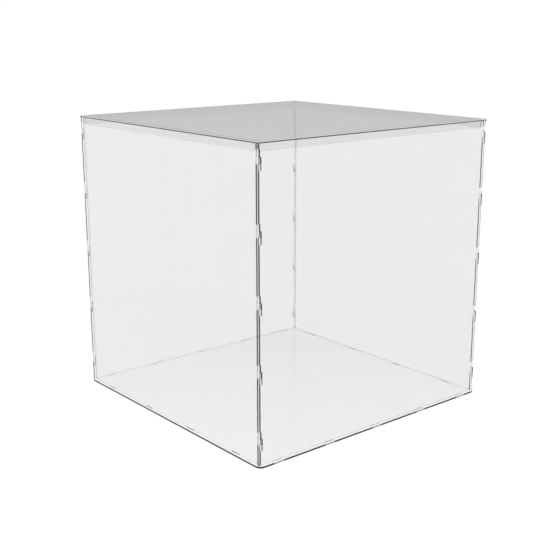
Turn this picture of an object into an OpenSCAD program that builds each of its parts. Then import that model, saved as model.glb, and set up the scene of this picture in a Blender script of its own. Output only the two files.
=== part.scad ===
// Self-assembly acrylic display cube.
// Five flat sheets make the case: a base with rounded corners, and four walls that stand on it in
// tab slots and lock to each other at the corners with downward hooks. A lift-off lid closes it.
// The frame's origin is the middle of the base's underside. +Z is up and -Y is the front.

/* [Case] */
// Distance between the outer faces of the two side walls
body_w = 500; // [300:10:800]
// Distance between the outer faces of the front and back walls
body_d = 500; // [300:10:800]
// Overall height, from the underside of the base to the top of the lid
case_h = 500; // [300:10:800]
// Thickness of the acrylic sheet
sheet = 3; // [2:0.5:6]

/* [Base] */
// How far the base reaches past the walls on each side
base_lip = 5; // [5:0.5:15]
// Radius of the base's corners
base_corner_r = 10; // [2:1:20]
// Length of each wall tab that stands in the base
tab_l = 20; // [10:1:40]
// Number of tabs along the front wall, and along the back wall
face_tab_count = 5; // [2:1:6]
// Number of tabs along each side wall
side_tab_count = 4; // [2:1:6]
// Distance from a wall corner to the middle of the first tab of the front and back walls
face_tab_inset = 35; // [25:1:60]

/* [Corner hooks] */
// Hooks along each upright edge of a side wall
hook_count = 5; // [2:1:6]
// How far a hook stands out of the front or back wall
hook_reach = 3; // [2.5:0.5:4.5]
// Height of a hook, its neck and its nib together
hook_h = 20; // [14:1:30]
// Height of the neck that passes through the wall
hook_neck_h = 10; // [6:1:12]
// Radius of a hook's two outer corners
hook_corner_r = 1; // [0.5:0.25:1.25]
// Depth of the underside of the top hook's neck below the top of the lid
top_hook_depth = 32; // [28:1:60]
// Height of the underside of the bottom hook's neck above the underside of the base
bottom_hook_height = 38; // [30:1:60]
// How far the front and back walls run past the side walls at each end
wall_overhang = 3; // [2.5:0.5:4.5]

/* [Lid] */
// How far the lid reaches past the side walls' outer faces
lid_lip = 2.5; // [0:0.5:5]
// Height of the locating strips bonded under the lid
strip_h = 12; // [8:1:20]
// Air left between a strip and the wall beside it
strip_gap = 1; // [0.5:0.25:3]

/* [Fits] */
// How much wider a slot is than the sheet that goes through it
slot_play = 0.3; // [0.2:0.05:0.6]
// Air between the faces of two sheets that rest on or against each other
rest_gap = 0.1; // [0.05:0.05:0.2]

/* [Hidden] */
$fn = 48;

// Outer faces of the walls, measured from the middle of the case
half_w = body_w / 2;
half_d = body_d / 2;

// Heights of the walls' bottom and top edges
wall_bottom = sheet + rest_gap;
wall_top = case_h - sheet - rest_gap;

// The front and back walls, which the hooks pass through
face_w = body_w + 2 * wall_overhang;
slot_w = sheet + slot_play;
slot_h = hook_h + slot_play;

// The side walls stand between the front and back walls
side_edge = half_d - sheet - rest_gap;
hook_tip = half_d + hook_reach;
notch_w = sheet + rest_gap + slot_play / 2;

// Heights of the undersides of the hooks' necks, which rest on the lower ends of the slots
hook_pitch = (case_h - top_hook_depth - bottom_hook_height) / (hook_count - 1);
necks = [for (i = [0 : hook_count - 1]) bottom_hook_height + i * hook_pitch];

// Middles of the tabs, along X on the front and back walls and along Y on the side walls
face_tab_pitch = (body_w - 2 * face_tab_inset) / (face_tab_count - 1);
face_tabs = [for (i = [0 : face_tab_count - 1]) face_tab_inset - half_w + i * face_tab_pitch];
side_tab_pitch = body_d / side_tab_count;
side_tabs = [for (i = [0 : side_tab_count - 1]) (i + 0.5) * side_tab_pitch - half_d];

// The strips under the lid, just inside the walls
strip_x = half_w - sheet - strip_gap;
strip_y = half_d - sheet - strip_gap;
lid_bottom = case_h - sheet;

module acrylic() {
    color([0.90, 0.93, 0.95, 0.35]) children();
}

// A rectangle from the Y axis to x = length, with its two far corners rounded
module round_ended(length, height, r) {
    square([length - r, height]);
    translate([0, r]) square([length, height - 2 * r]);
    for (y = [r, height - r]) translate([length - r, y]) circle(r);
}

// A hook that points along +X from the wall's edge, its neck uppermost and its nib hanging down
module hook_outline() {
    length = hook_tip - side_edge;
    difference() {
        round_ended(length, hook_h, hook_corner_r);
        translate([-1, -1]) square([notch_w + 1, hook_h - hook_neck_h + 1]);
    }
}

// Tabs that hang below a wall into the base, centred on each of the given places
module tabs_outline(places) {
    for (place = places)
        translate([place - tab_l / 2, rest_gap]) square([tab_l, wall_bottom - rest_gap + 1]);
}

// Front or back wall, seen from its outer face: tabs below and a column of slots at each end
module face_outline() {
    difference() {
        union() {
            translate([-face_w / 2, wall_bottom]) square([face_w, wall_top - wall_bottom]);
            tabs_outline(face_tabs);
        }
        for (side = [-1, 1], neck = necks)
            translate([side * (half_w - sheet / 2) - slot_w / 2, neck - rest_gap])
                square([slot_w, slot_h]);
    }
}

// Side wall, seen along +X: tabs below and a row of hooks along each upright edge
module side_outline() {
    translate([-side_edge, wall_bottom]) square([2 * side_edge, wall_top - wall_bottom]);
    tabs_outline(side_tabs);
    for (end = [0, 1], neck = necks)
        mirror([end, 0]) translate([side_edge, neck - hook_h + hook_neck_h]) hook_outline();
}

// A sheet standing in the XZ plane, its outer face towards -Y at y
module stand_facing_front(y) {
    translate([0, y + sheet, 0]) rotate([90, 0, 0]) linear_extrude(sheet) children();
}

// A sheet standing in the YZ plane, between x and x + sheet
module stand_facing_side(x) {
    translate([x, 0, 0]) rotate([90, 0, 90]) linear_extrude(sheet) children();
}

// Slots in the base, one sheet thickness in from the walls' outer faces
module base_slots(places, length, across) {
    for (side = [-1, 1], place = places)
        translate([place, side * (across - sheet / 2)])
            square([tab_l + slot_play, slot_w], center = true);
}

module base_outline() {
    reach_x = half_w + base_lip;
    reach_y = half_d + base_lip;
    square([2 * (reach_x - base_corner_r), 2 * reach_y], center = true);
    square([2 * reach_x, 2 * (reach_y - base_corner_r)], center = true);
    for (sx = [-1, 1], sy = [-1, 1])
        translate([sx * (reach_x - base_corner_r), sy * (reach_y - base_corner_r)])
            circle(base_corner_r);
}

module base_panel() {
    acrylic() linear_extrude(sheet) difference() {
        base_outline();
        base_slots(face_tabs, body_w, half_d);
        rotate(90) base_slots(side_tabs, body_d, half_w);
    }
}

module front_wall() {
    acrylic() stand_facing_front(-half_d) face_outline();
}

module back_wall() {
    acrylic() stand_facing_front(half_d - sheet) face_outline();
}

module left_wall() {
    acrylic() stand_facing_side(-half_w) side_outline();
}

module right_wall() {
    acrylic() stand_facing_side(half_w - sheet) side_outline();
}

module lid_panel() {
    lid_w = body_w + 2 * lid_lip;
    lid_d = body_d + 2 * lid_lip;
    acrylic() translate([-lid_w / 2, -lid_d / 2, lid_bottom]) cube([lid_w, lid_d, sheet]);
}

// A strip along X whose outer face is at y; the front and back strips run the full width
module long_strip(y) {
    acrylic() translate([-strip_x, y, lid_bottom - rest_gap - strip_h])
        cube([2 * strip_x, sheet, strip_h]);
}

// A strip along Y that fits between the two long strips
module short_strip(x) {
    length = 2 * (strip_y - sheet - rest_gap);
    acrylic() translate([x, -length / 2, lid_bottom - rest_gap - strip_h])
        cube([sheet, length, strip_h]);
}

module lid_strip_front() {
    long_strip(-strip_y);
}

module lid_strip_back() {
    long_strip(strip_y - sheet);
}

module lid_strip_left() {
    short_strip(-strip_x);
}

module lid_strip_right() {
    short_strip(strip_x - sheet);
}

base_panel();
front_wall();
back_wall();
left_wall();
right_wall();
lid_panel();
lid_strip_front();
lid_strip_back();
lid_strip_left();
lid_strip_right();
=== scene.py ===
"""Looks of the acrylic display cube: clear sheet with laser-cut edges, on a white studio sweep."""
import math

import bpy
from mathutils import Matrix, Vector


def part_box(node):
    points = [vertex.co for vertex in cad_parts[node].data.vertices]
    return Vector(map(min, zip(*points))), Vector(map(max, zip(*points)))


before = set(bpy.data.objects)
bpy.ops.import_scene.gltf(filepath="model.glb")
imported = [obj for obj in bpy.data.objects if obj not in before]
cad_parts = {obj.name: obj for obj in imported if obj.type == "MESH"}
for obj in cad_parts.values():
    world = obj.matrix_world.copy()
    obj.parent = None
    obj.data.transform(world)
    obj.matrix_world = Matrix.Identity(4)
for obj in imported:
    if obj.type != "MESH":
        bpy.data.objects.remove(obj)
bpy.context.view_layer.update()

MM = 0.001
X, Y, Z = 0, 1, 2

# Which way each sheet's polished faces point
SHEET_NORMAL = {
    "base_panel": Z,
    "front_wall": Y,
    "back_wall": Y,
    "left_wall": X,
    "right_wall": X,
    "lid_panel": Z,
    "lid_strip_front": Y,
    "lid_strip_back": Y,
    "lid_strip_left": X,
    "lid_strip_right": X,
}

ACRYLIC_IOR = 1.49
CHAMFER = 0.15 * MM
CHAMFER_ABOVE_ANGLE = math.radians(50)
WELD_DISTANCE = 0.01 * MM

# Colour of light that has passed through a sheet's faces
SHEET_TINT = (0.898, 0.898, 0.898, 1.0)
STRIP_TINT = (0.855, 0.855, 0.855, 1.0)
BASE_TINT = (0.985, 0.985, 0.985, 1.0)
SHADOW_TINT = (0.995, 0.995, 0.995, 1.0)

# Roughness of the polished faces: the base is scuffed by what has stood on it
FACE_SCUFF = 0.02
BASE_SCUFF = 0.13

# Cut edges: colour, how clear they are from 0 to 1, and roughness. The near-black colour of the
# first and the deep grey of the second are painted shade, standing in for the shade seen in cut
# edges
PAINTED_SHADE_EDGE = ((0.002, 0.002, 0.003, 1.0), 0.08, 0.06)
FROSTED_PAINTED_SHADE_EDGE = ((0.09, 0.093, 0.095, 1.0), 0.2, 0.45)
PALE_EDGE = ((0.70, 0.71, 0.715, 1.0), 0.4, 0.5)

# Seen from inside the sheet a cut edge is clearer, with its painted shade taken towards the face
# tint: how far it goes towards a polished face
EDGE_INSIDE = 0.3
BASE_EDGE_INSIDE = 0.95

# The hooks and slots at the corners are clearer than a wall's long upright edges, with paler
# painted shade on the hooks and painted light in and beside the slots. The slots end short of the
# front wall's ends, and the hooks start just past its inner face.
HOOK_PAINTED_SHADE = (0.35, 0.36, 0.365, 1.0)
SLOT_PAINTED_LIGHT = (0.85, 0.86, 0.865, 1.0)
HOOK_CLEAR = 0.9
FRONT_WALL_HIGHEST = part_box("front_wall")[1]
SLOTS_END = FRONT_WALL_HIGHEST[X] - 1 * MM
HOOKS_START = 0.5 * MM - FRONT_WALL_HIGHEST[Y]
FIRST_SLOT = 48 * MM
SLOT_PITCH = 107.5 * MM
SLOT_HALF_HEIGHT = 10 * MM

# Beside each tab of the front and back walls, the base's edge has painted light over its painted
# shade
TAB_EDGE_PAINTED_LIGHT = (0.35, 0.355, 0.36, 1.0)
TAB_PITCH = 107.5 * MM
TAB_HALF_LENGTH = 10 * MM

# The lid's edge has a painted highlight along its upper arris, under the light, with painted shade
# below it: how much of the sheet's thickness the highlight takes, and how softly it ends
PAINTED_ARRIS_HIGHLIGHT = (0.85, 0.86, 0.865, 1.0)
LID_ARRIS_SHARE = 0.38
LID_ARRIS_BLUR = 0.08

# Surface detail, with scales in cells per metre: the laser's striae are fine along a cut edge and
# drawn out through the sheet, and cast sheet is never quite flat, with a slow ripple a hand wide
STRIAE_SCALE = 900.0
STRIAE_SCALE_THROUGH = 6.0
STRIAE_BUMP = {"Strength": 0.15, "Distance": 0.1 * MM}
RIPPLE_SCALE = 7.0
RIPPLE_BUMP = {"Strength": 0.02, "Distance": 2 * MM}
SMEAR_SCALE = 22.0

# The studio: height from 0 at the horizon to 1 overhead, and how bright the light is there
OVERHEAD_LIGHT = 1.18
STUDIO_STOPS = [
    (0.0, 1.02), (0.025, 1.02), (0.06, 0.56), (0.13, 0.50), (0.32, 0.80), (0.58, OVERHEAD_LIGHT),
]
BACKDROP = (1.02, 1.02, 1.02, 1.0)
FLOOR_COLOUR = (0.94, 0.94, 0.94, 1.0)
FLOOR_WIDTH = 60.0
FLOOR_DEPTH = 0.3 * MM

# The camera looks from the left of the front, and slightly down, at a point on the Z axis
CAMERA_AZIMUTH = math.radians(-40.05)
CAMERA_ELEVATION = math.radians(14.84)
CAMERA_AIM = Vector((0, 0, 0.205))
CAMERA_DISTANCE = 1.8075
CAMERA_LENS = 63.63
CAMERA_SENSOR = 36.0


# ---------------------------------------------------------------- node helpers

def new_tree(owner):
    owner.use_nodes = True
    tree = owner.node_tree
    tree.nodes.clear()
    return tree


def add(tree, kind, inputs=None, **settings):
    """Adds a node, sets its properties, and sets or links its inputs."""
    node = tree.nodes.new(kind)
    for key, value in settings.items():
        setattr(node, key, value)
    for key, value in (inputs or {}).items():
        if isinstance(value, bpy.types.NodeSocket):
            tree.links.new(value, node.inputs[key])
        else:
            node.inputs[key].default_value = value
    return node


def math_node(tree, operation, a, b=0.0):
    return add(tree, "ShaderNodeMath", {0: a, 1: b}, operation=operation).outputs[0]


def remap(tree, value, low, high, out_low, out_high):
    node = add(
        tree, "ShaderNodeMapRange",
        {"Value": value, "From Min": low, "From Max": high, "To Min": out_low, "To Max": out_high},
        interpolation_type="SMOOTHSTEP",
    )
    return node.outputs["Result"]


def mix_float(tree, factor, a, b):
    return add(tree, "ShaderNodeMix", {0: factor, 2: a, 3: b}, data_type="FLOAT").outputs[0]


def mix_colour(tree, factor, a, b):
    return add(tree, "ShaderNodeMix", {0: factor, 6: a, 7: b}, data_type="RGBA").outputs[2]


def noise(tree, vector, scale, detail):
    settings = {"Vector": vector, "Scale": scale, "Detail": detail}
    return add(tree, "ShaderNodeTexNoise", settings).outputs["Fac"]


def component(tree, vector, axis):
    return add(tree, "ShaderNodeSeparateXYZ", {0: vector}).outputs[axis]


def size_along(tree, vector, axis):
    """A vector's component along an axis, without its sign."""
    return math_node(tree, "ABSOLUTE", component(tree, vector, axis))


def facing(tree, axis, low, high):
    """1 where the normal's size along an axis is over high, and 0 where it is under low."""
    normal = add(tree, "ShaderNodeNewGeometry").outputs["True Normal"]
    return remap(tree, size_along(tree, normal, axis), low, high, 0.0, 1.0)


# ------------------------------------------------------------------- materials

def edge_mask(tree, axis):
    """1 on the sheet's cut edges and their chamfers, 0 on its polished faces."""
    return math_node(tree, "SUBTRACT", 1.0, facing(tree, axis, 0.8, 0.95))


def dashes(tree, place, axis, middle, pitch, half_length):
    """1 within half_length of the middle and of every pitch from it, along an axis."""
    shifted = math_node(tree, "SUBTRACT", component(tree, place, axis), middle)
    wrapped = add(
        tree, "ShaderNodeMath", {0: shifted, 1: -pitch / 2, 2: pitch / 2}, operation="WRAP",
    ).outputs[0]
    distance = math_node(tree, "ABSOLUTE", wrapped)
    return remap(tree, distance, 0.8 * half_length, 1.2 * half_length, 1.0, 0.0)


def base_edge_colour(tree, place, painted_shade_colour):
    """The base's edge colour: painted shade, with a dash of painted light beside each front or back
    tab.
    """
    beside_tab = dashes(tree, place, X, 0.0, TAB_PITCH, TAB_HALF_LENGTH)
    # Painted light along the base's front and back edges, beside each tab
    painted_light_mask = math_node(tree, "MULTIPLY", beside_tab, facing(tree, Y, 0.6, 0.8))
    return mix_colour(tree, painted_light_mask, painted_shade_colour, TAB_EDGE_PAINTED_LIGHT)


def lid_edge_colour(tree, painted_shade_colour):
    """The lid's edge colour: painted shade, with a painted highlight along its upper arris."""
    through = add(tree, "ShaderNodeTexCoord").outputs["Generated"]
    height = component(tree, through, Z)
    border = 1.0 - LID_ARRIS_SHARE
    # Painted highlight on the upper share of the lid edge's height
    painted_highlight = remap(tree, height, border - LID_ARRIS_BLUR, border + LID_ARRIS_BLUR, 0.0, 1.0)
    return mix_colour(tree, painted_highlight, painted_shade_colour, PAINTED_ARRIS_HIGHLIGHT)


def hook_mask(tree, place, axis):
    """1 on a side wall's hooks, or in and beside the slots of a front or back wall."""
    if axis == X:
        return math_node(tree, "GREATER_THAN", size_along(tree, place, Y), HOOKS_START)
    in_slot = math_node(tree, "LESS_THAN", size_along(tree, place, X), SLOTS_END)
    beside_slot = dashes(tree, place, Z, FIRST_SLOT, SLOT_PITCH, SLOT_HALF_HEIGHT)
    return math_node(tree, "MAXIMUM", in_slot, beside_slot)


def finish_of(node):
    """A sheet's face tint, face scuffing, cut edges, and how clear these are from inside."""
    if node == "base_panel":
        return BASE_TINT, BASE_SCUFF, PAINTED_SHADE_EDGE, BASE_EDGE_INSIDE
    if node == "lid_panel":
        return SHEET_TINT, FACE_SCUFF, FROSTED_PAINTED_SHADE_EDGE, EDGE_INSIDE
    if node.startswith("lid_strip"):
        return STRIP_TINT, FACE_SCUFF, PALE_EDGE, EDGE_INSIDE
    return SHEET_TINT, FACE_SCUFF, PAINTED_SHADE_EDGE, EDGE_INSIDE


def cut_edge(tree, node, axis, place, colour, clear):
    """The colour and clearness of a sheet's cut edges from outside, with painted light or a painted
    highlight on their painted shade in places.
    """
    if node == "base_panel":
        colour = base_edge_colour(tree, place, colour)
    elif node == "lid_panel":
        colour = lid_edge_colour(tree, colour)
    elif node.endswith("wall"):
        hooked = hook_mask(tree, place, axis)
        # Paler painted shade on the hooks, painted light in and beside the slots
        colour = mix_colour(tree, hooked, colour, HOOK_PAINTED_SHADE if axis == X else SLOT_PAINTED_LIGHT)
        clear = mix_float(tree, hooked, clear, HOOK_CLEAR)
    return colour, clear


def laser_striae(tree, place, axis):
    """Lines that run straight through the sheet, along its normal."""
    scale = [STRIAE_SCALE, STRIAE_SCALE, STRIAE_SCALE]
    scale[axis] = STRIAE_SCALE_THROUGH
    drawn_out = add(tree, "ShaderNodeMapping", {"Vector": place, "Scale": scale}).outputs[0]
    return noise(tree, drawn_out, 1.0, 2.0)


def surface_normal(tree, place, edge, striae):
    """The sheet's ripple, with the striae on its cut edges."""
    ripple = noise(tree, place, RIPPLE_SCALE, 1.0)
    rippled = add(tree, "ShaderNodeBump", {**RIPPLE_BUMP, "Height": ripple}).outputs[0]
    cut = math_node(tree, "MULTIPLY", striae, edge)
    return add(tree, "ShaderNodeBump", {**STRIAE_BUMP, "Height": cut, "Normal": rippled}).outputs[0]


def acrylic(node, axis):
    """Clear cast acrylic sheet whose faces point along axis, with laser-cut edges."""
    face_tint, scuff, (cut_colour, cut_clear, cut_rough), edge_inside = finish_of(node)
    material = bpy.data.materials.new(f"acrylic_{node}")
    tree = new_tree(material)
    place = add(tree, "ShaderNodeTexCoord").outputs["Object"]
    edge = edge_mask(tree, axis)
    striae = laser_striae(tree, place, axis)
    smear = noise(tree, place, SMEAR_SCALE, 4.0)

    face_rough = remap(tree, smear, 0.2, 0.8, 0.85 * scuff, scuff)
    edge_rough = remap(tree, striae, 0.3, 0.7, 0.5 * cut_rough, 1.5 * cut_rough)
    rough = mix_float(tree, edge, face_rough, edge_rough)

    colour, clear = cut_edge(tree, node, axis, place, cut_colour, cut_clear)
    # Seen from inside, the edge's painted shade goes towards the face tint and full clearness
    from_inside = add(tree, "ShaderNodeNewGeometry").outputs["Backfacing"]
    inside = math_node(tree, "MULTIPLY", from_inside, edge_inside)
    colour = mix_colour(tree, inside, colour, face_tint)
    clear = mix_float(tree, inside, clear, 1.0)
    tint = mix_colour(tree, edge, face_tint, colour)

    # A wall's or strip's upright cut edges keep their painted shade or pale colour, and its level
    # ones, above and below, take the clearness and tint of the sheet that they meet, without
    # painted shade
    if axis != Z:
        level = facing(tree, Z, 0.5, 0.9)
        clear = mix_float(tree, level, clear, 1.0)
        tint = mix_colour(tree, level, tint, face_tint)

    glass = add(tree, "ShaderNodeBsdfPrincipled", {
        "Base Color": tint,
        "Roughness": rough,
        "IOR": ACRYLIC_IOR,
        "Transmission Weight": mix_float(tree, edge, 1.0, clear),
        "Normal": surface_normal(tree, place, edge, striae),
    }).outputs[0]

    # Light on its way to the floor goes straight through, as it does in a thin clear sheet
    path = add(tree, "ShaderNodeLightPath").outputs
    lighting = math_node(tree, "MAXIMUM", path["Is Shadow Ray"], path["Is Diffuse Ray"])
    unseen = add(tree, "ShaderNodeBsdfTransparent", {"Color": SHADOW_TINT}).outputs[0]
    shader = add(tree, "ShaderNodeMixShader", {0: lighting, 1: glass, 2: unseen}).outputs[0]
    add(tree, "ShaderNodeOutputMaterial", {"Surface": shader})
    return material


def dress_sheets():
    """Gives each sheet its acrylic and a fine chamfer along its edges."""
    for node, axis in SHEET_NORMAL.items():
        sheet = bpy.data.objects[node]
        sheet.data.materials.clear()
        sheet.data.materials.append(acrylic(node, axis))
        weld = sheet.modifiers.new("joined_faces", "WELD")
        weld.merge_threshold = WELD_DISTANCE
        bevel = sheet.modifiers.new("broken_edge", "BEVEL")
        bevel.width = CHAMFER
        bevel.segments = 1
        bevel.limit_method = "ANGLE"
        bevel.angle_limit = CHAMFER_ABOVE_ANGLE


# ---------------------------------------------------------------------- studio

def floor():
    bpy.ops.mesh.primitive_plane_add(size=FLOOR_WIDTH, location=(0, 0, -FLOOR_DEPTH))
    plane = bpy.context.object
    plane.name = "studio_floor"
    material = bpy.data.materials.new("studio_white")
    tree = new_tree(material)
    shader = add(tree, "ShaderNodeBsdfPrincipled", {
        "Base Color": FLOOR_COLOUR, "Roughness": 0.9, "Specular IOR Level": 0.0,
    })
    add(tree, "ShaderNodeOutputMaterial", {"Surface": shader.outputs[0]})
    plane.data.materials.append(material)


def studio_light():
    """A white sweep, grey studio walls above it, and a wide soft light overhead."""
    world = bpy.data.worlds.new("studio")
    bpy.context.scene.world = world
    tree = new_tree(world)
    direction = add(tree, "ShaderNodeTexCoord").outputs["Generated"]
    ramp = add(tree, "ShaderNodeValToRGB", {0: component(tree, direction, Z)})
    elements = ramp.color_ramp.elements
    while len(elements) < len(STUDIO_STOPS):
        elements.new(1.0)
    # The ramp holds shares of the overhead light, which the background's strength multiplies
    for element, (height, brightness) in zip(elements, STUDIO_STOPS):
        share = brightness / OVERHEAD_LIGHT
        element.position = height
        element.color = (share, share, share, 1.0)
    light = add(
        tree, "ShaderNodeBackground", {"Color": ramp.outputs[0], "Strength": OVERHEAD_LIGHT},
    ).outputs[0]
    backdrop = add(tree, "ShaderNodeBackground", {"Color": BACKDROP}).outputs[0]

    # The backdrop looks the same through the sheets as beside them
    path = add(tree, "ShaderNodeLightPath").outputs
    bounces = math_node(tree, "ADD", path["Glossy Depth"], path["Diffuse Depth"])
    straight = math_node(tree, "LESS_THAN", bounces, 0.5)
    through = math_node(tree, "MULTIPLY", straight, path["Is Transmission Ray"])
    seen = math_node(tree, "MAXIMUM", path["Is Camera Ray"], through)
    both = add(tree, "ShaderNodeMixShader", {0: seen, 1: light, 2: backdrop}).outputs[0]
    add(tree, "ShaderNodeOutputWorld", {"Surface": both})


def camera():
    back = Vector((
        math.sin(CAMERA_AZIMUTH) * math.cos(CAMERA_ELEVATION),
        -math.cos(CAMERA_AZIMUTH) * math.cos(CAMERA_ELEVATION),
        math.sin(CAMERA_ELEVATION),
    ))
    data = bpy.data.cameras.new("camera")
    data.sensor_width = CAMERA_SENSOR
    data.lens = CAMERA_LENS
    data.clip_end = 100.0
    lens = bpy.data.objects.new("camera", data)
    bpy.context.collection.objects.link(lens)
    lens.location = CAMERA_AIM + CAMERA_DISTANCE * back
    lens.rotation_euler = back.to_track_quat("Z", "Y").to_euler()
    bpy.context.scene.camera = lens


dress_sheets()
floor()
studio_light()
camera()
bpy.context.scene.view_settings.view_transform = "Standard"
